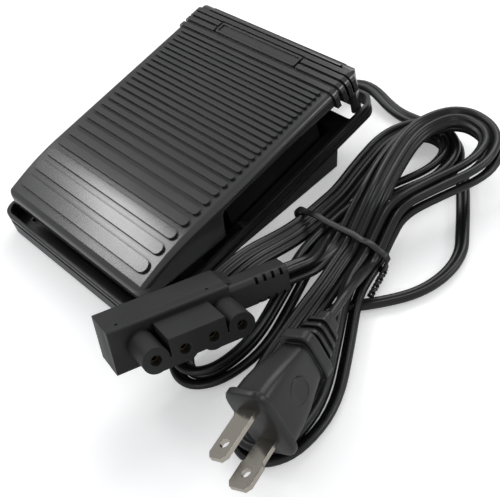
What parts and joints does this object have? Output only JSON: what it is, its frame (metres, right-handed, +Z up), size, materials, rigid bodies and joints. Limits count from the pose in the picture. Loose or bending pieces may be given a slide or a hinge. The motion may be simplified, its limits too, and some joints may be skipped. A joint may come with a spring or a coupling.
{
  "type": "sewing machine foot pedal",
  "caption": "Ribbed wedge-shaped speed pedal hinged on a shallow tray base, with two tied cord hanks, a sewing machine socket connector and a flat-blade mains plug.",
  "frame": {"origin": "on the floor, under the middle of the base's outline", "axes": "+Z up, +Y from the heel end towards the toe end, +X to the user's right, where the cords lie"},
  "size_m": [0.1705, 0.1619, 0.0379],
  "materials": {
    "treadle_plastic": "moulded, satin to gloss",
    "base_plastic": "moulded, satin",
    "foot_rubber": "matt",
    "cover_plastic": "moulded, matt",
    "screw_steel": "zinc plated",
    "spring_steel": "plain",
    "plunger_plastic": "moulded",
    "contact_brass": "bright",
    "board_laminate": "bare laminate",
    "component_black": "matt",
    "sink_aluminium": "plain",
    "component_yellow": "moulded",
    "copper": "enamelled copper wire",
    "component_blue": "lacquered",
    "component_green": "moulded",
    "wire_insulation": "smooth",
    "cord_rubber": "smooth flexible sheath",
    "tie_plastic": "plastic-coated wire",
    "connector_plastic": "moulded, satin",
    "plug_plastic": "moulded, satin",
    "blade_nickel": "nickel plated"
  },
  "bodies": {
    "base": {"base_shell": "base_plastic", "rubber_feet": "foot_rubber", "inner_cover": "cover_plastic", "cover_screws": "screw_steel", "return_springs": "spring_steel", "plunger_spring": "spring_steel", "circuit_board": "board_laminate", "board_screws": "screw_steel", "track_board": "board_laminate", "triac": "component_black", "heat_sink": "sink_aluminium", "triac_screw": "screw_steel", "filter_capacitor": "component_yellow", "choke_core": "component_black", "choke_winding": "copper", "resistors": "component_blue", "terminal_block": "component_green", "terminal_screws": "screw_steel", "cord_clamp": "base_plastic", "clamp_screws": "screw_steel", "lead_wires": "wire_insulation", "strain_relief": "cord_rubber", "pedal_cord_tail": "cord_rubber", "pedal_cord_hank": "cord_rubber", "pedal_cord_lead": "cord_rubber", "mains_cord_lead": "cord_rubber", "mains_cord_hank": "cord_rubber", "mains_cord_tail": "cord_rubber", "cord_tie": "tie_plastic", "connector_body": "connector_plastic", "connector_sleeves": "contact_brass", "plug_body": "plug_plastic", "narrow_blade": "blade_nickel", "wide_blade": "blade_nickel"},
    "treadle": {"treadle": "treadle_plastic", "hinge_pins": "screw_steel"},
    "plunger": {"plunger": "plunger_plastic", "wiper": "contact_brass"}
  },
  "joints": [
    {"name": "treadle_hinge", "type": "hinge", "parent": "base", "child": "treadle", "pos_m": [0, -0.0327, 0.0144], "axis": [-1, 0, 0], "range_deg": [0, 5.5], "stiffness_Nm_per_rad": 4, "springref_deg": -8.59, "deforming": ["return_springs"]},
    {"name": "plunger_slide", "type": "slide", "parent": "base", "child": "plunger", "axis": [0, 0, -1], "range_m": [0, 0.0046], "deforming": ["plunger_spring"]}
  ],
  "couplings": [
    {"joint": "plunger_slide", "follows": "treadle_hinge", "m_per_rad": 0.0462}
  ]
}
